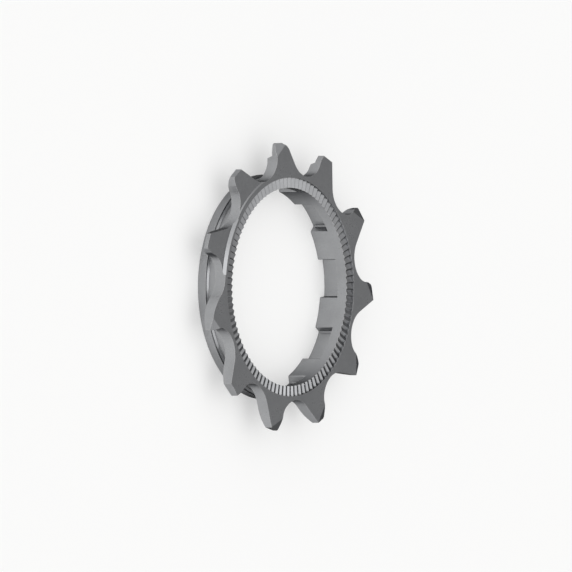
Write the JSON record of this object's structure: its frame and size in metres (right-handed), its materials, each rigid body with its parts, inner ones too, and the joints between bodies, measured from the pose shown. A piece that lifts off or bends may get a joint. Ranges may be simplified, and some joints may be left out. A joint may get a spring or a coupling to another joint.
{
  "type": "cassette cog",
  "caption": "Small toothed chain cog with a spacer collar behind it, inward spline keys in the bore and a serrated seat for a lockring.",
  "frame": {"origin": "centre of the bore at the rear face of the collar, which the part rests on", "axes": "+Z along the bore towards the serrated outer face; the teeth lie in the XY plane and +X runs close to one tooth's centre line"},
  "size_m": [0.0465, 0.0471, 0.0056],
  "materials": {
    "satin_steel": "satin, fine blasted, nickel plated"
  },
  "bodies": {
    "root": {"cassette_cog": "satin_steel"}
  },
  "joints": []
}
